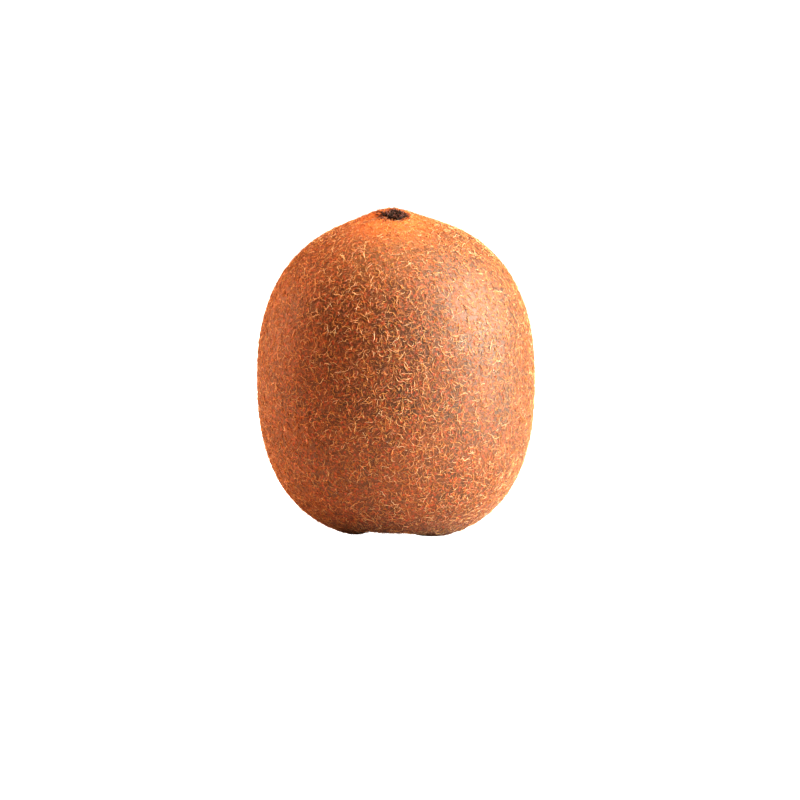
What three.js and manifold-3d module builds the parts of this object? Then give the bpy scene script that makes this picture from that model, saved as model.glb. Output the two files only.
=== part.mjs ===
// A whole kiwi fruit, standing on its stem end with the blossom end up.
// Millimetres, +Z up. The origin is on the surface that the fruit rests on, under the middle of
// the fruit. The fruit's broader side faces -Y, and the beak at the blossom end leans that way.

import * as THREE from 'three';
import Module from 'manifold-3d';

const wasm = await Module();
wasm.setup();

// The fruit's body, an oval drum between two rounded ends
const FRUIT_WIDTH = 54.2;
const FRUIT_DEPTH = 50.4;
const WAIST_HEIGHT = 30.7; // the level at which the fruit is widest
const UPPER_REACH = 31.2; // from the waist to the crown, without the beak
const LOWER_REACH = 31.85; // from the waist to the round base, before its feet are pressed flat
const UPPER_FULLNESS = 2.3; // exponent of the outline: 2 is an ellipse, higher is squarer
const LOWER_FULLNESS = 2.53;
const BASE_DRIFT = 0.5; // how far the stem end sits towards +X
const WAIST_LOBES = [
  { count: 2, swell: 0.002, turn: 0.6 },
  { count: 3, swell: 0.003, turn: 2.1 },
  { count: 5, swell: 0.002, turn: 4.0 },
];

// The beak at the blossom end, and the pit in it that holds the dried styles
const BEAK_RISE = 1.75;
const BEAK_SPREAD = 6.2;
const BEAK_CENTRE = { x: -1.2, y: -2.6 };
const BEAK_LEAN = 0.16; // how steeply the top of the beak turns towards -Y
const LEAN_SPREAD = 4.5;
const PIT_CENTRE = { x: -0.2, y: -5.0 };
const PIT_RADIUS = 2.3;
const PIT_DEPTH = 0.7;
const LIP_RISE = 0.22; // the soft rim of skin round the pit
const LIP_RADIUS = 2.9;
const LIP_WIDTH = 0.7;
const CREASE_LENGTH = 3.2; // one fold that runs from the pit towards -X
const CREASE_DEPTH = 0.4;
const CREASE_WIDTH = 0.55;
const FOLD_RISE = 0.3; // the fold of skin behind the crease

// The stem end: a hollow for the stalk, and three feet with arches between them
const HOLLOW_CENTRE = { x: -1.2, y: -1.0 };
const HOLLOW_RADIUS = 4.4;
const HOLLOW_DEPTH = 4.6;
const HOLLOW_STEEPNESS = 3;
const FOOT_TURNS = [201, 330, 92]; // degrees round the fruit, from +X towards +Y
const FOOT_BREADTH = 23; // degrees to each side
const ARCH_HEIGHT = 1.5;
const ARCH_RADIUS = 8.5;
const ARCH_SPREAD = 5.0;
// Creases in the skin that run out of the hollow and up the side
const PUCKERS = [
  { turn: 252, depth: 0.55, reach: 5.0 },
  { turn: 234, depth: 0.45, reach: 6.5 },
  { turn: 284, depth: 0.3, reach: 5.0 },
  { turn: 30, depth: 0.3, reach: 6.0 },
  { turn: 128, depth: 0.35, reach: 6.0 },
  { turn: 170, depth: 0.3, reach: 5.0 },
];
const PUCKER_START = 8.0;
const PUCKER_WIDTH = 0.9;

// The mesh of the skin: rings from the blossom end to the stem end, closer together at both ends
const SEGMENTS = 76;
const RINGS = 54;
const RING_CROWDING = 0.7;

// The dried styles in the pit
const STYLE_COUNT = 30;
const STYLE_SEED = 1907;
const STYLE_ROOT_RADIUS = 0.36;
const STYLE_TIP_RADIUS = 0.2;
const SHORTEST_STYLE = 1.5;
const LONGEST_STYLE = 2.7;
const STYLE_STEPS = 5;
const STYLE_SIDES = 5;
const STYLE_ROOT_SPREAD = 1.5; // the styles' roots stand within this radius
const STYLE_INNER_LIFT = 1.25; // radians above the pit's floor, in the middle and at the edge
const STYLE_OUTER_LIFT = 0.5;
const STYLE_DROOP = 1.5; // more than 1 turns the tips down again
const STYLE_CURL = 1.2; // the most that a style bends sideways, in radians
const BUTTON_RADIUS = 1.7; // the scar that all the styles stand on
const BUTTON_HEIGHT = 0.55;
const BUTTON_SIDES = 14;
const BUTTON_RINGS = 6;

// The woody scar of the stalk, in the hollow
const SCAR_RADIUS = 2.8;
const PITH_RADIUS = 1.0; // the sunken middle of the scar
const SCAR_FACE_HEIGHT = 1.6; // above the surface that the fruit rests on
const PITH_DEPTH = 0.35;
const SCAR_DISH = 0.5; // how far the very middle of its face lies behind the edge
const SCAR_RIM = 0.5; // how far the torn rim stands out of the face
const SCAR_RIM_WIDTH = 0.8;
const SCAR_RAGGEDNESS = 0.07;
const SCAR_ROOT = 3.0; // how far the scar reaches up before the fruit cuts it
const SCAR_SEGMENTS = 28;

const PIECE_GAP = 0.3; // between a piece and the fruit that it sits in

const GOLDEN_TURN = Math.PI * (3 - Math.sqrt(5));

function seededRandom(seed) {
  let state = seed;
  return () => {
    state = (state + 0x6d2b79f5) | 0;
    let mixed = Math.imul(state ^ (state >>> 15), 1 | state);
    mixed = (mixed + Math.imul(mixed ^ (mixed >>> 7), 61 | mixed)) ^ mixed;
    return ((mixed ^ (mixed >>> 14)) >>> 0) / 4294967296;
  };
}

function bell(distance, spread, power = 2) {
  return Math.exp(-((Math.abs(distance) / spread) ** power));
}

// The angle between two turns, from -PI to PI
function turnBetween(a, b) {
  return Math.atan2(Math.sin(a - b), Math.cos(a - b));
}

// How much the lobes swell or pinch the fruit. They fade out towards both ends.
function lobeSwell(polar, turn) {
  const waist = Math.sin(polar) ** 2;
  return WAIST_LOBES.reduce((sum, lobe) => {
    return sum + waist * lobe.swell * Math.cos(lobe.count * turn + lobe.turn);
  }, 1);
}

// What the beak, its pit and its crease add to the height of the crown at x, y
function crownRelief(x, y) {
  const fromBeak = Math.hypot(x - BEAK_CENTRE.x, y - BEAK_CENTRE.y);
  const fromPit = Math.hypot(x - PIT_CENTRE.x, y - PIT_CENTRE.y);
  const beak = BEAK_RISE * bell(fromBeak, BEAK_SPREAD);
  const lean = BEAK_LEAN * (y - BEAK_CENTRE.y) * bell(fromBeak, LEAN_SPREAD);
  const pit = -PIT_DEPTH * bell(fromPit, PIT_RADIUS, 4);
  const lip = LIP_RISE * bell(fromPit - LIP_RADIUS, LIP_WIDTH);
  const alongCrease = PIT_CENTRE.x - x - PIT_RADIUS - CREASE_LENGTH / 2;
  const acrossCrease = y - PIT_CENTRE.y;
  const creaseFade = bell(alongCrease, CREASE_LENGTH * 0.7, 4);
  const crease = -CREASE_DEPTH * creaseFade * bell(acrossCrease, CREASE_WIDTH);
  const fold = FOLD_RISE * creaseFade * bell(acrossCrease - 2 * CREASE_WIDTH, CREASE_WIDTH);
  return beak + lean + pit + lip + crease + fold;
}

// What the hollow and the arches between the feet add to the height of the base at x, y
function baseRelief(x, y) {
  const fromHollow = Math.hypot(x - HOLLOW_CENTRE.x, y - HOLLOW_CENTRE.y);
  const hollow = HOLLOW_DEPTH * bell(fromHollow, HOLLOW_RADIUS, HOLLOW_STEEPNESS);
  const turn = Math.atan2(y, x);
  const foot = FOOT_TURNS.reduce((sum, degrees) => {
    const away = turnBetween(turn, THREE.MathUtils.degToRad(degrees));
    return sum + bell(away, THREE.MathUtils.degToRad(FOOT_BREADTH));
  }, 0);
  const ring = bell(Math.hypot(x, y) - ARCH_RADIUS, ARCH_SPREAD);
  return hollow + ARCH_HEIGHT * (1 - Math.min(foot, 1)) * ring;
}

// How deep the puckers round the hollow press into the skin at x, y, counted along the skin
function puckerDepth(x, y, z) {
  const across = Math.hypot(x - HOLLOW_CENTRE.x, y - HOLLOW_CENTRE.y);
  const turn = Math.atan2(y - HOLLOW_CENTRE.y, x - HOLLOW_CENTRE.x);
  return PUCKERS.reduce((sum, pucker) => {
    const away = turnBetween(turn, THREE.MathUtils.degToRad(pucker.turn)) * across;
    const along = across + z - PUCKER_START;
    return sum + pucker.depth * bell(away, PUCKER_WIDTH) * bell(along, pucker.reach);
  }, 0);
}

// A point of the skin. polar runs from 0 at the pit of the styles to PI at the stalk's hollow.
function skinPoint(polar, turn) {
  const toCrown = Math.max(Math.cos(polar), 0) ** 2;
  const toBase = Math.max(-Math.cos(polar), 0) ** 2;
  const swell = lobeSwell(polar, turn);
  const leanX = PIT_CENTRE.x / UPPER_REACH * toCrown + HOLLOW_CENTRE.x / LOWER_REACH * toBase;
  const leanY = PIT_CENTRE.y / UPPER_REACH * toCrown + HOLLOW_CENTRE.y / LOWER_REACH * toBase;
  const across = (Math.sin(polar) * Math.cos(turn) + leanX) / (FRUIT_WIDTH / 2);
  const deep = (Math.sin(polar) * Math.sin(turn) + leanY) / (FRUIT_DEPTH / 2);
  const upper = polar < Math.PI / 2;
  const fullness = upper ? UPPER_FULLNESS : LOWER_FULLNESS;
  const rise = Math.cos(polar) / (upper ? UPPER_REACH : LOWER_REACH);
  const radial = Math.hypot(across, deep);
  const scale = swell * (radial ** fullness + Math.abs(rise) ** fullness) ** (-1 / fullness);
  const x = scale * across * FRUIT_WIDTH / 2 + BASE_DRIFT * toBase;
  const y = scale * deep * FRUIT_DEPTH / 2;
  const z = WAIST_HEIGHT + scale * Math.cos(polar);
  if (upper) return new THREE.Vector3(x, y, z + crownRelief(x, y));
  const pucker = puckerDepth(x, y, z) / Math.hypot(x, y, z - WAIST_HEIGHT);
  const pressed = z + baseRelief(x, y) + (WAIST_HEIGHT - z) * pucker;
  return new THREE.Vector3(x * (1 - pucker), y * (1 - pucker), Math.max(pressed, 0));
}

function closedGeometry(points, triangles) {
  const geometry = new THREE.BufferGeometry();
  geometry.setFromPoints(points);
  geometry.setIndex(triangles);
  geometry.computeVertexNormals();
  return geometry;
}

// Joins rings of points, each ring a closed loop, and closes the two ends on a point each.
// The rings run from the first end to the last, turning left as seen from the first end.
function ringsGeometry(first, rings, last) {
  const sides = rings[0].length;
  const points = [first, ...rings.flat(), last];
  const triangles = [];
  const at = (ring, side) => 1 + ring * sides + (side % sides);
  for (let side = 0; side < sides; side += 1) {
    triangles.push(0, at(0, side), at(0, side + 1));
    for (let ring = 0; ring < rings.length - 1; ring += 1) {
      triangles.push(at(ring, side), at(ring + 1, side), at(ring + 1, side + 1));
      triangles.push(at(ring, side), at(ring + 1, side + 1), at(ring, side + 1));
    }
    triangles.push(at(rings.length - 1, side), points.length - 1, at(rings.length - 1, side + 1));
  }
  return closedGeometry(points, triangles);
}

function solidFrom(geometry) {
  return new wasm.Manifold(new wasm.Mesh({
    numProp: 3,
    vertProperties: new Float32Array(geometry.getAttribute('position').array),
    triVerts: new Uint32Array(geometry.getIndex().array),
  }));
}

// The largest body of a solid, as a geometry
function geometryFrom(solid) {
  const bodies = solid.decompose();
  bodies.sort((a, b) => b.volume() - a.volume());
  const mesh = bodies[0].getMesh();
  const points = [];
  for (let i = 0; i < mesh.vertProperties.length; i += mesh.numProp) {
    points.push(new THREE.Vector3(...mesh.vertProperties.slice(i, i + 3)));
  }
  return closedGeometry(points, Array.from(mesh.triVerts));
}

function fruitGeometry() {
  const rings = [];
  for (let ring = 1; ring < RINGS; ring += 1) {
    const share = ring / RINGS;
    const polar = Math.PI * (share - RING_CROWDING * Math.sin(2 * Math.PI * share) / (2 * Math.PI));
    const points = [];
    for (let side = 0; side < SEGMENTS; side += 1) {
      points.push(skinPoint(polar, 2 * Math.PI * side / SEGMENTS));
    }
    rings.push(points);
  }
  return ringsGeometry(skinPoint(0, 0), rings, skinPoint(Math.PI, 0));
}

// The pit's floor and the way it faces
function pitFrame() {
  const step = 0.5; // the slope is taken over this distance to each side
  const height = (x, y) => {
    const radial = Math.hypot(x / (FRUIT_WIDTH / 2), y / (FRUIT_DEPTH / 2));
    const crown = UPPER_REACH * (1 - radial ** UPPER_FULLNESS) ** (1 / UPPER_FULLNESS);
    return WAIST_HEIGHT + crown + crownRelief(x, y);
  };
  const { x, y } = PIT_CENTRE;
  const slopeX = (height(x + step, y) - height(x - step, y)) / (2 * step);
  const slopeY = (height(x, y + step) - height(x, y - step)) / (2 * step);
  const normal = new THREE.Vector3(-slopeX, -slopeY, 1).normalize();
  const turn = new THREE.Quaternion().setFromUnitVectors(new THREE.Vector3(0, 0, 1), normal);
  const frame = new THREE.Matrix4().makeRotationFromQuaternion(turn);
  return frame.setPosition(x, y, height(x, y));
}

// One dried style: a tapered strand that leans out of the button, curls over and droops
function styleGeometry(number, random) {
  const spread = Math.sqrt((number + 0.5) / STYLE_COUNT);
  const turn = number * GOLDEN_TURN;
  const bend = THREE.MathUtils.lerp(-STYLE_CURL, STYLE_CURL, random());
  const length = THREE.MathUtils.lerp(SHORTEST_STYLE, LONGEST_STYLE, random());
  const root = new THREE.Vector3(Math.cos(turn), Math.sin(turn), 0);
  root.multiplyScalar(STYLE_ROOT_SPREAD * spread);
  const lift = THREE.MathUtils.lerp(STYLE_INNER_LIFT, STYLE_OUTER_LIFT, spread);
  const rings = [];
  const centre = root.clone();
  const heading = new THREE.Vector3();
  for (let step = 0; step <= STYLE_STEPS; step += 1) {
    const share = step / STYLE_STEPS;
    const flat = turn + bend * share;
    const climb = lift * (1 - STYLE_DROOP * share);
    heading.set(Math.cos(flat) * Math.cos(climb), Math.sin(flat) * Math.cos(climb), Math.sin(climb));
    if (step > 0) centre.addScaledVector(heading, length / STYLE_STEPS);
    const radius = THREE.MathUtils.lerp(STYLE_ROOT_RADIUS, STYLE_TIP_RADIUS, share);
    const across = new THREE.Vector3(-Math.sin(flat), Math.cos(flat), 0);
    const upward = new THREE.Vector3().crossVectors(heading, across);
    const ring = [];
    for (let side = 0; side < STYLE_SIDES; side += 1) {
      const angle = 2 * Math.PI * side / STYLE_SIDES + share;
      ring.push(centre.clone()
        .addScaledVector(across, radius * Math.cos(angle))
        .addScaledVector(upward, radius * Math.sin(angle)));
    }
    rings.push(ring);
  }
  const tip = centre.clone();
  tip.addScaledVector(heading, STYLE_TIP_RADIUS);
  return ringsGeometry(tip, rings.reverse(), root);
}

// A low round button, widest at its middle
function buttonGeometry() {
  const rings = [];
  for (let ring = 1; ring < BUTTON_RINGS; ring += 1) {
    const polar = Math.PI * ring / BUTTON_RINGS;
    const points = [];
    for (let side = 0; side < BUTTON_SIDES; side += 1) {
      const turn = 2 * Math.PI * side / BUTTON_SIDES;
      const radius = BUTTON_RADIUS * Math.sin(polar);
      const height = BUTTON_HEIGHT * Math.cos(polar);
      points.push(new THREE.Vector3(radius * Math.cos(turn), radius * Math.sin(turn), height));
    }
    rings.push(points);
  }
  const top = new THREE.Vector3(0, 0, BUTTON_HEIGHT);
  return ringsGeometry(top, rings, top.clone().negate());
}

// The withered styles that stay on the fruit, grown together at their roots
function styleTuftGeometry(fruit) {
  const random = seededRandom(STYLE_SEED);
  let tuft = solidFrom(buttonGeometry());
  for (let number = 0; number < STYLE_COUNT; number += 1) {
    tuft = tuft.add(solidFrom(styleGeometry(number, random)));
  }
  const placed = tuft.transform(pitFrame().elements);
  return geometryFrom(placed.subtract(fruit.translate([0, 0, PIECE_GAP])));
}

// The corky scar where the stalk broke off: a dished face with a torn, uneven rim, facing down
function stemScarGeometry(fruit) {
  const profile = [
    { radius: PITH_RADIUS, height: SCAR_FACE_HEIGHT + PITH_DEPTH, ragged: 0 },
    { radius: SCAR_RADIUS - SCAR_RIM_WIDTH, height: SCAR_FACE_HEIGHT, ragged: 0.5 },
    { radius: SCAR_RADIUS - SCAR_RIM_WIDTH / 2, height: SCAR_FACE_HEIGHT - SCAR_RIM, ragged: 1 },
    { radius: SCAR_RADIUS, height: SCAR_FACE_HEIGHT, ragged: 1 },
    { radius: SCAR_RADIUS, height: SCAR_FACE_HEIGHT + SCAR_ROOT, ragged: 1 },
  ];
  const rings = profile.map(({ radius, height, ragged }) => {
    const points = [];
    for (let side = 0; side < SCAR_SEGMENTS; side += 1) {
      const turn = -2 * Math.PI * side / SCAR_SEGMENTS;
      const wave = Math.cos(3 * turn + 1) + 0.6 * Math.cos(7 * turn);
      const reach = radius * (1 + SCAR_RAGGEDNESS * ragged * wave);
      const drop = ragged * SCAR_RAGGEDNESS * Math.sin(5 * turn + 2);
      points.push(new THREE.Vector3(
        HOLLOW_CENTRE.x + reach * Math.cos(turn),
        HOLLOW_CENTRE.y + reach * Math.sin(turn),
        height + drop,
      ));
    }
    return points;
  });
  const middle = (height) => new THREE.Vector3(HOLLOW_CENTRE.x, HOLLOW_CENTRE.y, height);
  const stub = ringsGeometry(
    middle(SCAR_FACE_HEIGHT + SCAR_DISH),
    rings,
    middle(SCAR_FACE_HEIGHT + SCAR_ROOT),
  );
  return geometryFrom(solidFrom(stub).subtract(fruit.translate([0, 0, -PIECE_GAP])));
}

function namedMesh(name, geometry, finish) {
  const mesh = new THREE.Mesh(geometry, new THREE.MeshStandardMaterial({ ...finish, metalness: 0 }));
  mesh.name = name;
  return mesh;
}

const skin = fruitGeometry();
const fruitSolid = solidFrom(skin);
const kiwi = new THREE.Group();
kiwi.add(
  namedMesh('kiwi_fruit', skin, { color: 0x9a5f2c, roughness: 0.85 }),
  namedMesh('style_tuft', styleTuftGeometry(fruitSolid), { color: 0x2e1a16, roughness: 0.75 }),
  namedMesh('stem_scar', stemScarGeometry(fruitSolid), { color: 0x5c4128, roughness: 0.9 }),
);

// The origin goes under the middle of the fruit
const middle = new THREE.Box3().setFromObject(kiwi).getCenter(new THREE.Vector3());
kiwi.position.set(-middle.x, -middle.y, 0);

export default kiwi;
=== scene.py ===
# A whole kiwi fruit, standing on its stem end with the blossom end up, in metres.
import math

import bmesh
import bpy
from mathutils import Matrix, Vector


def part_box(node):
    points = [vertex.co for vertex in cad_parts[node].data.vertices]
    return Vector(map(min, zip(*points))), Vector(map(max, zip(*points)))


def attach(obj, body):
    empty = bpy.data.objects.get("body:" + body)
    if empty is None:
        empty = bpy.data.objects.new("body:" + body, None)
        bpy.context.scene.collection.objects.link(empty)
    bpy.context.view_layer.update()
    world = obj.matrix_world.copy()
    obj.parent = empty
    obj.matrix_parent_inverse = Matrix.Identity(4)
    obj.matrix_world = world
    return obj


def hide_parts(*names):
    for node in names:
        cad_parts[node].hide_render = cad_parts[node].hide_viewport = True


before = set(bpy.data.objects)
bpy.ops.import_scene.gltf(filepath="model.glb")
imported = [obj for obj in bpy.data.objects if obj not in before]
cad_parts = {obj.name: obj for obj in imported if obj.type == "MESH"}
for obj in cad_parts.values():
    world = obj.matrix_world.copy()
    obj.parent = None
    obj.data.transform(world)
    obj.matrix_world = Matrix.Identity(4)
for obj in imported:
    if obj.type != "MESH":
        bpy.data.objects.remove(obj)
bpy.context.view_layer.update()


# The fruit: one berry, grown in one piece on a vine. Its skin is thin, tough and quite matt, like
# soft leather, olive brown under the coat of hairs and clear orange round the beak, where the coat
# is thin. The base is pressed flat on three low feet, with puckers that run into the stalk's hollow.

MM = 0.001
SKIN_SUBDIVISIONS = 2
SKIN_RELIEF = {
    "Lump size": 5.0 * MM, "Lump rise": 0.10 * MM, "Grain size": 0.9 * MM, "Grain rise": 0.035 * MM,
}
FEET_HEIGHT = 0.8 * MM
PATCH_SIZE = 7 * MM
SPECK_GAP = 0.8 * MM
MOTTLE_SIZE = 0.35 * MM
GRAIN_PATTERN = 0.3 * MM
# How far the bare orange skin reaches from the pit, and how near to it the orange is full
ORANGE_REACH = 13 * MM
ORANGE_FULL = 3 * MM
# How fine the streaks on the base are (darker skin and painted crease shade), how far they reach from
# the hollow and where they are full
STREAK_FINENESS = 9.0
STREAK_REACH = 20 * MM
STREAK_FULL = 9 * MM
# The painted shade at the base fades upwards and to the right
BASE_SHADE_TOP = 5 * MM
BASE_SHADE_FULL = 1.2 * MM
BASE_SHADE_RIGHT = 1 * MM
BASE_SHADE_LEFT = -5 * MM
# The middle of the crease's painted shade, from the pit, and half its length and width
CREASE_OFFSET = Vector((-4.0 * MM, -0.8 * MM, 0.0))
CREASE_LENGTH = 3.2 * MM
CREASE_WIDTH = 1.1 * MM
# The finest down: the sizes of its curls, which are drawn from places this far apart, the size of
# the gaps between them, and how wide a hair of it is and stands off the skin
DOWN_CURLS = (0.8 * MM, 0.5 * MM)
DOWN_SHIFT = 30 * MM
DOWN_GAPS = 1.1 * MM
DOWN_WIDTH = 0.08 * MM


def linear(code):
    """An sRGB hex value as linear RGBA."""
    parts = [int(code[i : i + 2], 16) / 255 for i in (1, 3, 5)]
    return (*(c / 12.92 if c <= 0.04045 else ((c + 0.055) / 1.055) ** 2.4 for c in parts), 1.0)


def feed(tree, node, into):
    """Sets or links a node's inputs, which go by name or in the order of its open sockets."""
    if isinstance(into, dict):
        pairs = [(node.inputs[name], value) for name, value in into.items()]
    else:
        pairs = zip([socket for socket in node.inputs if socket.enabled], into)
    for socket, value in pairs:
        if isinstance(value, bpy.types.Node):
            value = next(outlet for outlet in value.outputs if outlet.enabled)
        if isinstance(value, bpy.types.NodeSocket):
            tree.links.new(value, socket)
        elif value is not None:
            socket.default_value = value


def add(tree, kind, into=(), stops=(), **settings):
    """Adds a node with its settings, what goes into its sockets and its colour stops."""
    made = tree.nodes.new(kind)
    for setting, value in settings.items():
        setattr(made, setting, value)
    feed(tree, made, into)
    for number, (place, code) in enumerate(stops):
        ramp = made.color_ramp.elements
        stop = ramp[number] if number < len(ramp) else ramp.new(place)
        stop.position = place
        stop.color = linear(code)
    return made


def start_tree(name, inputs):
    """A Geometry Nodes tree with named inputs, what comes in and the node where it goes out."""
    tree = bpy.data.node_groups.new(name, "GeometryNodeTree")
    tree.interface.new_socket("Geometry", in_out="INPUT", socket_type="NodeSocketGeometry")
    for title, kind in inputs.items():
        tree.interface.new_socket(title, in_out="INPUT", socket_type="NodeSocket" + kind)
    tree.interface.new_socket("Geometry", in_out="OUTPUT", socket_type="NodeSocketGeometry")
    return tree, tree.nodes.new("NodeGroupInput").outputs, tree.nodes.new("NodeGroupOutput")


def grow(name, base, tree, values):
    """What a tree makes of a base mesh, as a plain mesh in a new object."""
    piece = bpy.data.objects.new(name, base)
    bpy.context.scene.collection.objects.link(piece)
    modifier = piece.modifiers.new(name, "NODES")
    modifier.node_group = tree
    for socket in tree.interface.items_tree:
        if socket.in_out == "INPUT" and socket.name in values:
            modifier[socket.identifier] = values[socket.name]
    evaluated = piece.evaluated_get(bpy.context.evaluated_depsgraph_get())
    mesh = bpy.data.meshes.new_from_object(evaluated)
    piece.modifiers.remove(modifier)
    piece.data = mesh
    return piece


def welded_copy(node):
    """A CAD node's mesh with its doubles merged and its triangles joined in pairs."""
    work = bmesh.new()
    work.from_mesh(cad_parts[node].data)
    bmesh.ops.remove_doubles(work, verts=work.verts, dist=0.001 * MM)
    bmesh.ops.join_triangles(
        work, faces=work.faces, angle_face_threshold=math.pi, angle_shape_threshold=math.pi
    )
    mesh = bpy.data.meshes.new(node + "_copy")
    work.to_mesh(mesh)
    work.free()
    return mesh


def relief_tree():
    """Rounds the facets off, then raises broad lumps and a fine grain along the normals."""
    tree, inlet, outlet = start_tree("grown relief", {
        "Level": "Int", "Lump size": "Float", "Lump rise": "Float", "Grain size": "Float",
        "Grain rise": "Float", "Material": "Material",
    })
    fine = add(tree, "GeometryNodeSubdivisionSurface", {
        "Mesh": inlet["Geometry"], "Level": inlet["Level"],
    })
    position = add(tree, "GeometryNodeInputPosition")
    rise = 0.0
    for size, most in (("Lump size", "Lump rise"), ("Grain size", "Grain rise")):
        scale = add(tree, "ShaderNodeMath", (1.0, inlet[size]), operation="DIVIDE")
        noise = add(tree, "ShaderNodeTexNoise", {"Vector": position, "Scale": scale, "Detail": 1.0})
        centred = add(tree, "ShaderNodeMath", (noise, 0.5), operation="SUBTRACT")
        layer = add(tree, "ShaderNodeMath", (centred, inlet[most]), operation="MULTIPLY")
        rise = add(tree, "ShaderNodeMath", (rise, layer), operation="ADD")
    # The feet stay flat on the table
    height = add(tree, "ShaderNodeSeparateXYZ", (position,)).outputs["Z"]
    free = add(tree, "ShaderNodeMapRange", (height, 0.0, FEET_HEIGHT))
    rise = add(tree, "ShaderNodeMath", (rise, free), operation="MULTIPLY")
    normal = add(tree, "GeometryNodeInputNormal")
    offset = add(tree, "ShaderNodeVectorMath", (normal, rise), operation="SCALE")
    raised = add(tree, "GeometryNodeSetPosition", {"Geometry": fine, "Offset": offset})
    smooth = add(tree, "GeometryNodeSetShadeSmooth", (raised,))
    whole = add(tree, "GeometryNodeRealizeInstances", (smooth,))
    painted = add(tree, "GeometryNodeSetMaterial", {"Geometry": whole, "Material": inlet["Material"]})
    feed(tree, outlet, {"Geometry": painted})
    return tree


def start_material(name):
    """A material with one Principled BSDF, its tree and that shader."""
    material = bpy.data.materials.new(name)
    material.use_nodes = True
    return material, material.node_tree, material.node_tree.nodes["Principled BSDF"]


tuft_low, tuft_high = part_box("style_tuft")
pit = (Vector(tuft_low) + Vector(tuft_high)) / 2
scar_low, scar_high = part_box("stem_scar")
hollow = (Vector(scar_low) + Vector(scar_high)) / 2


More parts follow.
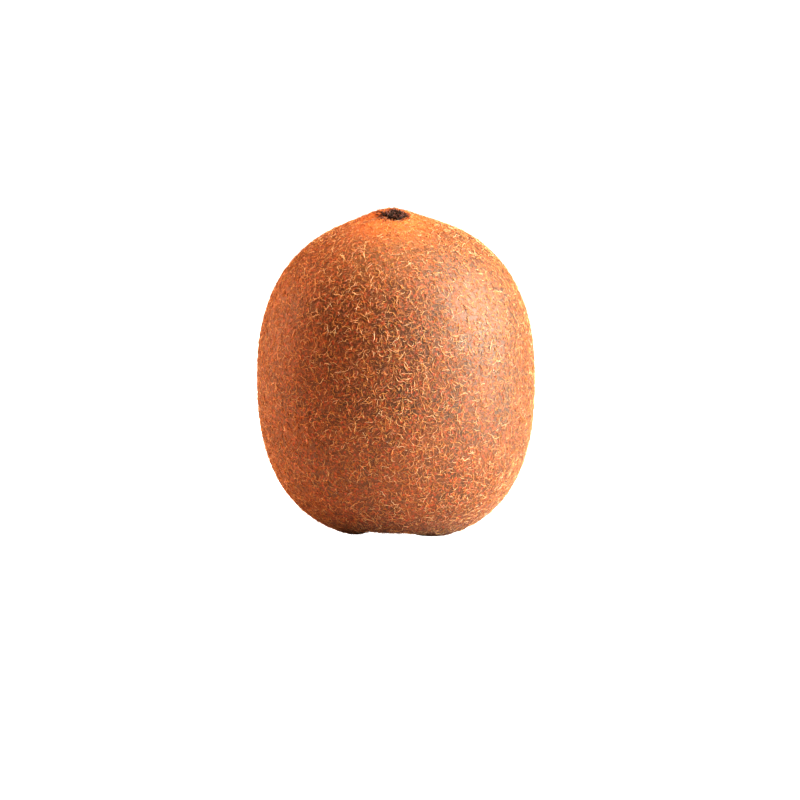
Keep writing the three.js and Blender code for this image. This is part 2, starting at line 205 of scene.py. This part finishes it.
def skin_material():
    """Fruit skin, matt and leathery: the light on it is broad and soft, with a faint bloom."""
    material, tree, shader = start_material("kiwi skin")
    place = add(tree, "ShaderNodeTexCoord").outputs["Object"]

    # Olive to red brown patches
    patches = add(tree, "ShaderNodeTexNoise", {"Vector": place, "Scale": 1 / PATCH_SIZE, "Detail": 3.0})
    ground = add(tree, "ShaderNodeValToRGB", (patches,), [(0.35, "#301a04"), (0.65, "#542a08")])

    # Rusty specks, where the shortest hairs have rubbed off
    specks = add(tree, "ShaderNodeTexVoronoi", {"Vector": place, "Scale": 1 / SPECK_GAP})
    dots = add(tree, "ShaderNodeMapRange", (specks, 0.42, 0.18, 0.0, 0.75))
    specked = add(tree, "ShaderNodeMix", (dots, ground, linear("#9c3c1a")), data_type="RGBA")

    # The bare orange skin round the beak
    from_pit = add(tree, "ShaderNodeVectorMath", (place, pit), operation="DISTANCE")
    beak = add(tree, "ShaderNodeMapRange", (from_pit, ORANGE_REACH, ORANGE_FULL),
               interpolation_type="SMOOTHSTEP")
    orange = add(tree, "ShaderNodeMix", (beak, specked, linear("#9c4e0c")), data_type="RGBA")

    # Fine mottling
    mottle = add(tree, "ShaderNodeTexNoise", {"Vector": place, "Scale": 1 / MOTTLE_SIZE, "Detail": 2.0})
    shade = add(tree, "ShaderNodeMapRange", (mottle, 0.3, 0.7, 0.6, 1.25))
    mottled = add(tree, "ShaderNodeMix", (1.0, orange, shade), data_type="RGBA", blend_type="MULTIPLY")

    # Dark streaks that fan out from the stalk's hollow over the base: the skin's own darker colour near
    # the stalk, and painted shade in its fine creases
    from_hollow = add(tree, "ShaderNodeVectorMath", (place, hollow), operation="SUBTRACT")
    heading = add(tree, "ShaderNodeVectorMath", (from_hollow,), operation="NORMALIZE")
    fan = add(tree, "ShaderNodeTexNoise", {"Vector": heading, "Scale": STREAK_FINENESS, "Detail": 2.0})
    rays = add(tree, "ShaderNodeMapRange", (fan, 0.5, 0.62))
    far = add(tree, "ShaderNodeVectorMath", (from_hollow,), operation="LENGTH")
    near_base = add(tree, "ShaderNodeMapRange", (far, STREAK_REACH, STREAK_FULL, 0.0, 0.85))
    streaks_and_crease_shade = add(tree, "ShaderNodeMath", (rays, near_base), operation="MULTIPLY")
    streaked_and_shaded = add(tree, "ShaderNodeMix", (streaks_and_crease_shade, mottled, linear("#2c1004")), data_type="RGBA")

    # Painted shade on the lowest few millimetres, where the fruit meets the table, most on the left,
    # away from the key light
    spot = add(tree, "ShaderNodeSeparateXYZ", (place,))
    low = add(tree, "ShaderNodeMapRange", (spot.outputs["Z"], BASE_SHADE_TOP, BASE_SHADE_FULL))
    left = add(tree, "ShaderNodeMapRange", (spot.outputs["X"], BASE_SHADE_RIGHT, BASE_SHADE_LEFT))
    base_shade = add(tree, "ShaderNodeMath", (low, left), operation="MULTIPLY")
    base_shaded = add(tree, "ShaderNodeMix", (base_shade, streaked_and_shaded, linear("#2a0e04")), data_type="RGBA")

    # Painted shade in the crease that runs from the pit to the left
    off_crease = add(tree, "ShaderNodeVectorMath", (place, pit + CREASE_OFFSET), operation="SUBTRACT")
    oval = add(tree, "ShaderNodeVectorMath", (off_crease, (1 / CREASE_LENGTH, 1 / CREASE_WIDTH, 0.0)),
               operation="MULTIPLY")
    round_it = add(tree, "ShaderNodeVectorMath", (oval,), operation="LENGTH")
    crease_shade = add(tree, "ShaderNodeMapRange", (round_it, 1.0, 0.5, 0.0, 0.85))
    crease_shaded = add(tree, "ShaderNodeMix", (crease_shade, base_shaded, linear("#4a1c06")), data_type="RGBA")

    # The finest down, too fine to model, is drawn as broken curly lines
    down = 0.0
    for number, size in enumerate(DOWN_CURLS):
        moved = add(tree, "ShaderNodeVectorMath", (place, (number * DOWN_SHIFT, 0, 0)), operation="ADD")
        waves = add(tree, "ShaderNodeTexNoise", {"Vector": moved, "Scale": 1 / size, "Detail": 1.0})
        level = add(tree, "ShaderNodeMath", (waves, 0.5), operation="SUBTRACT")
        off_line = add(tree, "ShaderNodeMath", (level,), operation="ABSOLUTE")
        lines = add(tree, "ShaderNodeMapRange", (off_line, 0.045, 0.015))
        gaps = add(tree, "ShaderNodeTexNoise", {"Vector": moved, "Scale": 1 / DOWN_GAPS, "Detail": 0.0})
        runs = add(tree, "ShaderNodeMapRange", (gaps, 0.46, 0.52))
        strokes = add(tree, "ShaderNodeMath", (lines, runs), operation="MULTIPLY")
        down = add(tree, "ShaderNodeMath", (down, strokes), operation="MAXIMUM")
    amount = add(tree, "ShaderNodeMath", (down, 0.6), operation="MULTIPLY")
    downy = add(tree, "ShaderNodeMix", (amount, crease_shaded, linear("#9a5420")), data_type="RGBA")

    # The grain and the down stand up a little
    grain = add(tree, "ShaderNodeTexNoise", {"Vector": place, "Scale": 1 / GRAIN_PATTERN, "Detail": 3.0})
    raised = add(tree, "ShaderNodeMath", (grain, down), operation="ADD")
    bump = add(tree, "ShaderNodeBump", {"Height": raised, "Strength": 0.6, "Distance": DOWN_WIDTH})
    feed(tree, shader, {
        "Base Color": downy, "Normal": bump, "Roughness": 0.6,
        "Specular IOR Level": 1.0, "Specular Tint": linear("#ffe4d4"),
        "Sheen Weight": 0.15, "Sheen Roughness": 0.5, "Sheen Tint": linear("#ffc4a0"),
    })
    return material


relief = relief_tree()
fruit = grow("fruit_skin", welded_copy("kiwi_fruit"), relief, {
    **SKIN_RELIEF, "Level": SKIN_SUBDIVISIONS, "Material": skin_material(),
})
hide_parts("kiwi_fruit")
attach(fruit, "root")


# The coat: dry hairs that grow out of the skin all over, three kinds mixed. Short rusty ones lie in
# tangles close to the skin, longer pale ones, curled and kinked, lie over them, and a few are long
# and bleached. Each is a tapered strand with one root. None grow under the feet or in the hollow.

# Hairs start at the first of two distances and are in full growth at the second
HOLLOW_EDGE = (4 * MM, 7 * MM)
FEET_EDGE = (0.1 * MM, 3.5 * MM)
# Near the hollow the hairs are combed towards it: from the first distance, fully at the second
COMBED_EDGE = (18 * MM, 9 * MM)
KINK_SIZE = 0.2 * MM
HAIR_SIDES = 3
HAIR_TREE_INPUTS = {
    "Density": "Float", "Spacing": "Float", "Seed": "Int", "Parts": "Int", "Part": "Int",
    "Shortest": "Float", "Longest": "Float", "Thickness": "Float", "Curl": "Float", "Lift": "Float",
    "Wiggle": "Float", "Points": "Int", "Pit": "Vector", "Bare radius": "Float",
    "Full radius": "Float", "Hollow": "Vector", "Combed": "Float", "Material": "Material",
}


def coat_tree():
    """Grows hairs on a surface, each a curved tapered tube with its own length, curl and tone."""
    tree, inlet, outlet = start_tree("hair coat", HAIR_TREE_INPUTS)

    # The coat thins out towards the pit, the flat feet and the stalk's hollow
    position = add(tree, "GeometryNodeInputPosition")
    from_pit = add(tree, "ShaderNodeVectorMath", (position, inlet["Pit"]), operation="DISTANCE")
    off_pit = add(tree, "ShaderNodeMapRange", (from_pit, inlet["Bare radius"], inlet["Full radius"]))
    from_hollow = add(tree, "ShaderNodeVectorMath", (position, inlet["Hollow"]), operation="DISTANCE")
    off_hollow = add(tree, "ShaderNodeMapRange", (from_hollow, *HOLLOW_EDGE))
    height = add(tree, "ShaderNodeSeparateXYZ", (position,)).outputs["Z"]
    off_table = add(tree, "ShaderNodeMapRange", (height, *FEET_EDGE))
    growth = add(tree, "ShaderNodeMath", (off_pit, off_hollow), operation="MULTIPLY")
    growth = add(tree, "ShaderNodeMath", (growth, off_table), operation="MULTIPLY")
    roots = add(tree, "GeometryNodeDistributePointsOnFaces", {
        "Mesh": inlet["Geometry"], "Distance Min": inlet["Spacing"], "Density Max": inlet["Density"],
        "Density Factor": growth, "Seed": inlet["Seed"],
    }, distribute_method="POISSON")
    normal = roots.outputs["Normal"]

    # Each hair heads its own way along the skin, but near the hollow most are combed towards it
    any_way = add(tree, "FunctionNodeRandomValue", ((-1, -1, -1), (1, 1, 1), None, inlet["Seed"]),
                  data_type="FLOAT_VECTOR")
    to_hollow = add(tree, "ShaderNodeVectorMath", (inlet["Hollow"], position), operation="SUBTRACT")
    inwards = add(tree, "ShaderNodeVectorMath", (to_hollow,), operation="NORMALIZE")
    comb = add(tree, "ShaderNodeMapRange", (from_hollow, *COMBED_EDGE, 0.0, inlet["Combed"]))
    pull = add(tree, "ShaderNodeVectorMath", (inwards, comb), operation="SCALE")
    wish = add(tree, "ShaderNodeVectorMath", (any_way, pull), operation="ADD")
    up_share = add(tree, "ShaderNodeVectorMath", (wish, normal), operation="DOT_PRODUCT")
    up_part = add(tree, "ShaderNodeVectorMath", (normal, up_share), operation="SCALE")
    flat = add(tree, "ShaderNodeVectorMath", (wish, up_part), operation="SUBTRACT")
    along = add(tree, "ShaderNodeVectorMath", (flat,), operation="NORMALIZE")
    across = add(tree, "ShaderNodeVectorMath", (normal, along), operation="CROSS_PRODUCT")

    # What is drawn for each hair, from a seed of its own
    drawn = {}
    for name, least, most, seed_step in (
        ("hand", -1.0, 1.0, 4), ("turn", 0.2, 1.0, 6), ("size", inlet["Shortest"], inlet["Longest"], 7),
        ("lift", 0.3, 1.0, 9), ("tone", 0.0, 1.0, 10),
    ):
        seed = add(tree, "ShaderNodeMath", (inlet["Seed"], seed_step), operation="ADD")
        drawn[name] = add(tree, "FunctionNodeRandomValue", (least, most, None, seed), data_type="FLOAT")
    hand = add(tree, "ShaderNodeMath", (drawn["hand"],), operation="SIGN")
    turn = add(tree, "ShaderNodeMath", (hand, drawn["turn"]), operation="MULTIPLY")
    bend = add(tree, "ShaderNodeMath", (turn, inlet["Curl"]), operation="MULTIPLY")
    lift = add(tree, "ShaderNodeMath", (drawn["lift"], inlet["Lift"]), operation="MULTIPLY")

    # Each root keeps what its hair needs, and the roots of the other parts go
    kept = roots
    own = {}
    for name, kind, value in (
        ("root", "FLOAT_VECTOR", position), ("normal_way", "FLOAT_VECTOR", normal),
        ("along_way", "FLOAT_VECTOR", along), ("across_way", "FLOAT_VECTOR", across),
        ("size", "FLOAT", drawn["size"]), ("bend", "FLOAT", bend), ("lift", "FLOAT", lift),
        ("tone", "FLOAT", drawn["tone"]),
    ):
        kept = add(tree, "GeometryNodeStoreNamedAttribute", {
            "Geometry": kept, "Name": name, "Value": value,
        }, data_type=kind, domain="POINT")
        own[name] = add(tree, "GeometryNodeInputNamedAttribute", {"Name": name}, data_type=kind)
    index = add(tree, "GeometryNodeInputIndex")
    part = add(tree, "ShaderNodeMath", (index, inlet["Parts"]), operation="FLOORED_MODULO")
    others = add(tree, "FunctionNodeCompare", (part, inlet["Part"], 0.5),
                 data_type="FLOAT", operation="NOT_EQUAL")
    kept = add(tree, "GeometryNodeDeleteGeometry", {"Geometry": kept, "Selection": others},
               domain="POINT")

    line = add(tree, "GeometryNodeCurvePrimitiveLine")
    strand = add(tree, "GeometryNodeResampleCurve", {"Curve": line, "Count": inlet["Points"]})
    planted = add(tree, "GeometryNodeInstanceOnPoints", {"Points": kept, "Instance": strand})
    strands = add(tree, "GeometryNodeRealizeInstances", (planted,))

    # The course of a hair: an arc along the skin, which rises and sinks again
    share = add(tree, "GeometryNodeSplineParameter").outputs["Factor"]
    turned = add(tree, "ShaderNodeMath", (own["bend"], share), operation="MULTIPLY")
    sine = add(tree, "ShaderNodeMath", (turned,), operation="SINE")
    ahead = add(tree, "ShaderNodeMath", (sine, own["bend"]), operation="DIVIDE")
    cosine = add(tree, "ShaderNodeMath", (turned,), operation="COSINE")
    arc_depth = add(tree, "ShaderNodeMath", (1.0, cosine), operation="SUBTRACT")
    aside = add(tree, "ShaderNodeMath", (arc_depth, own["bend"]), operation="DIVIDE")
    climb = add(tree, "ShaderNodeMath", (own["lift"], share), operation="MULTIPLY")
    sinking = add(tree, "ShaderNodeMath", (1.5, share), operation="SUBTRACT")
    rise = add(tree, "ShaderNodeMath", (climb, sinking), operation="MULTIPLY")
    course = (0.0, 0.0, 0.0)
    for way, reach in (("along_way", ahead), ("across_way", aside), ("normal_way", rise)):
        leg = add(tree, "ShaderNodeVectorMath", (own[way], reach), operation="SCALE")
        course = add(tree, "ShaderNodeVectorMath", (course, leg), operation="ADD")

    # Small kinks, which grow towards the tip
    near_root = add(tree, "ShaderNodeVectorMath", (own["root"], 1 / KINK_SIZE), operation="SCALE")
    thrice = add(tree, "ShaderNodeMath", (share, 3.0), operation="MULTIPLY")
    run = add(tree, "ShaderNodeCombineXYZ", (share, share, thrice))
    drift = add(tree, "ShaderNodeVectorMath", (near_root, run), operation="ADD")
    noise = add(tree, "ShaderNodeTexNoise", {"Vector": drift, "Scale": 1.0, "Detail": 1.0})
    centred = add(tree, "ShaderNodeVectorMath", (noise.outputs["Color"], (0.5, 0.5, 0.5)),
                  operation="SUBTRACT")
    wiggle = add(tree, "ShaderNodeMath", (inlet["Wiggle"], share), operation="MULTIPLY")
    kinks = add(tree, "ShaderNodeVectorMath", (centred, wiggle), operation="SCALE")
    kinked = add(tree, "ShaderNodeVectorMath", (course, kinks), operation="ADD")
    sized = add(tree, "ShaderNodeVectorMath", (kinked, own["size"]), operation="SCALE")
    place = add(tree, "ShaderNodeVectorMath", (own["root"], sized), operation="ADD")

    # No hair goes through the table
    lowest = add(tree, "ShaderNodeCombineXYZ", (-1.0, -1.0, inlet["Thickness"]))
    above = add(tree, "ShaderNodeVectorMath", (place, lowest), operation="MAXIMUM")
    laid = add(tree, "GeometryNodeSetPosition", {"Geometry": strands, "Position": above})

    # The strand becomes a tube that narrows to its tip
    to_tip = add(tree, "ShaderNodeMath", (1.02, share), operation="SUBTRACT")
    taper = add(tree, "ShaderNodeMath", (to_tip, 0.6), operation="POWER")
    radius = add(tree, "ShaderNodeMath", (inlet["Thickness"], taper), operation="MULTIPLY")
    shared = add(tree, "GeometryNodeStoreNamedAttribute", {
        "Geometry": laid, "Name": "share", "Value": share,
    }, data_type="FLOAT", domain="POINT")
    ring = add(tree, "GeometryNodeCurvePrimitiveCircle", {"Resolution": HAIR_SIDES, "Radius": 1.0},
               mode="RADIUS")
    around = add(tree, "GeometryNodeSplineParameter").outputs["Factor"]
    section = add(tree, "GeometryNodeStoreNamedAttribute", {
        "Geometry": ring, "Name": "side", "Value": around,
    }, data_type="FLOAT", domain="POINT")
    tubes = add(tree, "GeometryNodeCurveToMesh", {
        "Curve": shared, "Profile Curve": section, "Fill Caps": True, "Scale": radius,
    })

    # The map holds the hair's tone one way and the share of its length the other, each with a
    # little of the way round the tube, so that every face has some width there
    side = add(tree, "GeometryNodeInputNamedAttribute", {"Name": "side"}, data_type="FLOAT")
    length = add(tree, "GeometryNodeInputNamedAttribute", {"Name": "share"}, data_type="FLOAT")
    tone = add(tree, "ShaderNodeMath", (own["tone"], 0.96), operation="MULTIPLY")
    tone_width = add(tree, "ShaderNodeMath", (side, 0.04), operation="MULTIPLY")
    spot_tone = add(tree, "ShaderNodeMath", (tone, tone_width), operation="ADD")
    other_side = add(tree, "ShaderNodeMath", (1.0, side), operation="SUBTRACT")
    sides = add(tree, "ShaderNodeMath", (side, other_side), operation="MULTIPLY")
    bulge = add(tree, "ShaderNodeMath", (sides, 0.16), operation="MULTIPLY")
    reach = add(tree, "ShaderNodeMath", (length, 0.95), operation="MULTIPLY")
    spot_reach = add(tree, "ShaderNodeMath", (reach, bulge), operation="ADD")
    spot = add(tree, "ShaderNodeCombineXYZ", (spot_tone, spot_reach))
    result = add(tree, "GeometryNodeStoreNamedAttribute", {
        "Geometry": tubes, "Name": "OFBake", "Value": spot,
    }, data_type="FLOAT2", domain="CORNER")
    for name in (*own, "share", "side"):
        result = add(tree, "GeometryNodeRemoveAttribute", {"Geometry": result, "Name": name})
    smooth = add(tree, "GeometryNodeSetShadeSmooth", (result,))
    whole = add(tree, "GeometryNodeRealizeInstances", (smooth,))
    painted = add(tree, "GeometryNodeSetMaterial", {"Geometry": whole, "Material": inlet["Material"]})
    feed(tree, outlet, {"Geometry": painted})
    return tree


def hair_material(name, tones, root_shade, shine=1.0):
    """Dry plant hair: dull, but pale enough to catch the light, darker at the root than at the tip."""
    material, tree, shader = start_material(name)
    spot = add(tree, "ShaderNodeSeparateXYZ", (add(tree, "ShaderNodeUVMap", uv_map="OFBake"),))
    tone = add(tree, "ShaderNodeValToRGB", (spot.outputs["X"],), tones)
    light = add(tree, "ShaderNodeMapRange", (spot.outputs["Y"], 0.0, 0.6, root_shade, 1.0))
    colour = add(tree, "ShaderNodeMix", (1.0, tone, light), data_type="RGBA", blend_type="MULTIPLY")
    feed(tree, shader, {
        "Base Color": colour, "Roughness": 0.55,
        "Specular IOR Level": 0.8 * shine, "Specular Tint": linear("#fff0e4"),
        "Sheen Weight": 0.45 * shine, "Sheen Tint": linear("#ffe4d8"),
    })
    return material


COAT_SEED = 11
COMB_STRENGTH = 3.0
# The skin's area, over which the hairs of a kind are spread
SKIN_AREA = 10200 * MM * MM
# Of each kind: its pieces, its hairs, its material, and the shape and spread of one hair
HAIR_KINDS = {
    "short_hairs": (2, 24000, hair_material("rusty short hair", [
        (0.0, "#4a1c08"), (0.35, "#8a3410"), (0.7, "#b04a1c"), (1.0, "#c86a34"),
    ], 0.6), {
        "Spacing": 0.55 * MM, "Shortest": 0.4 * MM, "Longest": 1.0 * MM, "Thickness": 0.065 * MM,
        "Curl": 2.6, "Lift": 0.30, "Wiggle": 0.6, "Points": 3,
        "Bare radius": 2.0 * MM, "Full radius": 4.5 * MM,
    }),
    "long_hairs": (4, 60000, hair_material("pale long hair", [
        (0.0, "#8c4a0c"), (0.45, "#bc7a20"), (0.8, "#e0a858"), (1.0, "#f8dcb0"),
    ], 0.55), {
        "Spacing": 0.415 * MM, "Shortest": 0.6 * MM, "Longest": 1.7 * MM, "Thickness": 0.045 * MM,
        "Curl": 2.6, "Lift": 0.26, "Wiggle": 0.7, "Points": 4,
        "Bare radius": 1.8 * MM, "Full radius": 3.5 * MM,
    }),
    "stray_hairs": (1, 3200, hair_material("bleached stray hair", [
        (0.0, "#c88a48"), (0.5, "#e6b47c"), (1.0, "#f4d8b0"),
    ], 0.6), {
        "Spacing": 1.1 * MM, "Shortest": 1.2 * MM, "Longest": 2.6 * MM, "Thickness": 0.044 * MM,
        "Curl": 2.0, "Lift": 0.22, "Wiggle": 0.8, "Points": 7,
        "Bare radius": 5 * MM, "Full radius": 14 * MM,
    }),
}
coat = coat_tree()
for kind, (parts, count, dry_hair, shape) in HAIR_KINDS.items():
    for part in range(parts):
        hairs = grow(f"{kind}_{part + 1}", fruit.data, coat, {
            **shape, "Density": count / SKIN_AREA, "Seed": COAT_SEED, "Parts": parts, "Part": part,
            "Pit": pit, "Hollow": hollow, "Combed": COMB_STRENGTH, "Material": dry_hair,
        })
        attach(hairs, "root")


# The dried styles: what is left of the flower, a ragged tuft of brittle threads that stands in the
# pit on top. They are dead and dark purple brown. A fringe of stiff rusty hairs rings the pit.

TUFT_SQUEEZE = 0.82
THREADS_PER_AREA = 14 / (MM * MM)
THREAD_SPACING = 0.1 * MM
THREAD_SEED = 5
FRINGE_SEED = 6


def dry_material(name, dark, light, size, crack):
    """Dead plant tissue: dull and dark, with paler ridges on its fibres, partly its own paler colour and
    partly a painted highlight where the light catches them.
    """
    material, tree, shader = start_material(name)
    place = add(tree, "ShaderNodeTexCoord").outputs["Object"]
    fibres = add(tree, "ShaderNodeTexNoise", {"Vector": place, "Scale": 1 / size, "Detail": 4.0})
    # Paler on the raised fibres: the tissue's own tone and a painted highlight
    colour = add(tree, "ShaderNodeValToRGB", (fibres,), [(0.4, dark), (0.68, light)])
    bump = add(tree, "ShaderNodeBump", {"Height": fibres, "Strength": 0.8, "Distance": crack})
    feed(tree, shader, {"Base Color": colour, "Normal": bump, "Roughness": 0.6})
    return material


tuft_copy = welded_copy("style_tuft")
for vertex in tuft_copy.vertices:
    vertex.co.x = pit.x + (vertex.co.x - pit.x) * TUFT_SQUEEZE
core = grow("style_core", tuft_copy, relief, {
    "Level": 1, "Lump size": 0.5 * MM, "Lump rise": 0.14 * MM,
    "Grain size": 0.2 * MM, "Grain rise": 0.08 * MM,
    "Material": dry_material("dead style", "#080303", "#2a1612", 0.15 * MM, 0.05 * MM),
})
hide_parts("style_tuft")
# What the threads and the fringe share: each comes in one piece and isn't combed
UNCOMBED = {
    "Density": THREADS_PER_AREA, "Spacing": THREAD_SPACING, "Parts": 1, "Part": 0,
    "Pit": pit, "Hollow": hollow, "Combed": 0.0,
}
threads = grow("style_threads", core.data, coat, {
    **UNCOMBED, "Seed": THREAD_SEED, "Shortest": 0.6 * MM, "Longest": 1.6 * MM,
    "Thickness": 0.08 * MM, "Curl": 2.4, "Lift": 1.0, "Wiggle": 0.5, "Points": 6,
    "Bare radius": -1.0, "Full radius": 0.0,
    "Material": hair_material("brittle thread", [
        (0.0, "#0c0404"), (0.45, "#20100c"), (0.75, "#5c342c"), (1.0, "#a87c74"),
    ], 0.7, shine=0.3),
})
fringe = grow("pit_fringe", fruit.data, coat, {
    **UNCOMBED, "Seed": FRINGE_SEED, "Shortest": 0.5 * MM, "Longest": 1.4 * MM,
    "Thickness": 0.06 * MM, "Curl": 1.8, "Lift": 0.5, "Wiggle": 0.4, "Points": 5,
    "Bare radius": 3.8 * MM, "Full radius": 2.2 * MM,
    "Material": hair_material("rusty fringe hair", [
        (0.0, "#240a04"), (0.45, "#6a2810"), (0.8, "#b05420"), (1.0, "#d08848"),
    ], 0.6, shine=0.5),
})
for piece in (core, threads, fringe):
    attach(piece, "root")


# The stem scar: the corky plug in the hollow underneath, where the stalk broke off. It is dry and
# woody, pale where it broke and cracked across.

scar = grow("scar_plug", welded_copy("stem_scar"), relief, {
    "Level": 2, "Lump size": 0.9 * MM, "Lump rise": 0.25 * MM,
    "Grain size": 0.3 * MM, "Grain rise": 0.1 * MM,
    "Material": dry_material("stalk cork", "#3a2414", "#a88460", 0.4 * MM, 0.1 * MM),
})
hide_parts("stem_scar")
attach(scar, "root")


# The table: a plain white top of painted board, as in a packshot. It is dull, and it glows an even clean
# white where it is seen. It also glows as though it were a lamp: a painted pool of warm light round the
# fruit lights it from below, with a painted shadow under the fruit and to its left.

TABLE_RADIUS = 4.0
TABLE_CORNERS = 64
TABLE_DROP = 0.02 * MM
TABLE_GLOW = 0.3
POOL_GLOW = 1.15
# The glow falls from the pool to the rest of the table between these two distances
POOL_EDGE = (45 * MM, 120 * MM)
# The painted shadow: the glow fades out towards a middle a little to the left of the fruit
SHADE_EDGE = (17 * MM, 34 * MM)
SHADE_MIDDLE = (-5 * MM, 0.0, 0.0)

table_top = bpy.data.meshes.new("table_top")
corner_angles = [2 * math.pi * i / TABLE_CORNERS for i in range(TABLE_CORNERS)]
table_top.from_pydata(
    [(TABLE_RADIUS * math.cos(a), TABLE_RADIUS * math.sin(a), -TABLE_DROP) for a in corner_angles],
    [], [list(range(TABLE_CORNERS))],
)
table = bpy.data.objects.new("table", table_top)
bpy.context.scene.collection.objects.link(table)
white_board, board, board_shader = start_material("white table")
seen_directly = add(board, "ShaderNodeLightPath").outputs["Is Camera Ray"]
warmth = add(board, "ShaderNodeMix", (seen_directly, linear("#ffbc90"), linear("#ffffff")),
             data_type="RGBA")
board_place = add(board, "ShaderNodeTexCoord").outputs["Object"]
# The glow that lights the fruit, with no lamp behind it: a painted pool of light with a painted shadow
# in it
from_shade = add(board, "ShaderNodeVectorMath", (board_place, SHADE_MIDDLE), operation="SUBTRACT")
distance = add(board, "ShaderNodeVectorMath", (from_shade,), operation="LENGTH")
pool = add(board, "ShaderNodeMapRange", (distance, *POOL_EDGE, POOL_GLOW, TABLE_GLOW))
out_of_shade = add(board, "ShaderNodeMapRange", (distance, *SHADE_EDGE))
lit = add(board, "ShaderNodeMath", (pool, out_of_shade), operation="MULTIPLY")
glow = add(board, "ShaderNodeMapRange", (seen_directly, 0.0, 1.0, lit, 1.0))
feed(board, board_shader, {
    "Base Color": linear("#b0b0b0"), "Roughness": 0.9,
    "Emission Color": warmth, "Emission Strength": glow,
})
table_top.materials.append(white_board)


# Light: a large soft box on the right and a little in front, a second on the left behind the fruit
# that draws its edge, a third above it, and a room that is warm and dim but looks white.

LIGHT_AIM = Vector((0, 0, 0.033))


def softbox(name, place, width, height, watts, code):
    """A flat area light, aimed at the middle of the fruit."""
    lamp = bpy.data.lights.new(name, "AREA")
    lamp.shape = "RECTANGLE"
    lamp.size = width
    lamp.size_y = height
    lamp.energy = watts
    lamp.color = linear(code)[:3]
    stand = bpy.data.objects.new(name, lamp)
    stand.location = place
    stand.rotation_euler = (LIGHT_AIM - Vector(place)).to_track_quat("-Z", "Y").to_euler()
    bpy.context.scene.collection.objects.link(stand)


softbox("key", (0.49, -0.17, 0.26), 0.36, 0.60, 13.0, "#f6ffff")
softbox("edge", (-0.47, 0.14, 0.12), 0.30, 0.40, 3.5, "#ffc8a4")
softbox("top", (0.0, 0.02, 0.55), 0.34, 0.34, 4.4, "#ffc890")

world = bpy.data.worlds.new("white room")
bpy.context.scene.world = world
world.use_nodes = True
room = world.node_tree
warm_walls = room.nodes["Background"]
feed(room, warm_walls, {"Color": linear("#ffa878"), "Strength": 0.045})
white_walls = add(room, "ShaderNodeBackground", {"Color": linear("#ffffff"), "Strength": 1.1})
seen_walls = add(room, "ShaderNodeLightPath").outputs["Is Camera Ray"]
walls = add(room, "ShaderNodeMixShader", (seen_walls, warm_walls, white_walls))
feed(room, room.nodes["World Output"], {"Surface": walls})
bpy.context.scene.view_settings.view_transform = "Standard"
bpy.context.scene.view_settings.look = "High Contrast"


# Camera: a long lens, a little above the middle of the fruit.

CAMERA_LENS = 99.6
CAMERA_SENSOR = 36
CAMERA_DISTANCE = 0.435
CAMERA_RISE = math.radians(8)
CAMERA_AIM = Vector((0.0008, 0, 0.0261))
camera_data = bpy.data.cameras.new("camera")
camera_data.lens = CAMERA_LENS
camera_data.sensor_width = CAMERA_SENSOR
camera = bpy.data.objects.new("camera", camera_data)
away = Vector((0, -math.cos(CAMERA_RISE), math.sin(CAMERA_RISE)))
camera.location = CAMERA_AIM + away * CAMERA_DISTANCE
camera.rotation_euler = (-away).to_track_quat("-Z", "Y").to_euler()
bpy.context.scene.collection.objects.link(camera)
bpy.context.scene.camera = camera
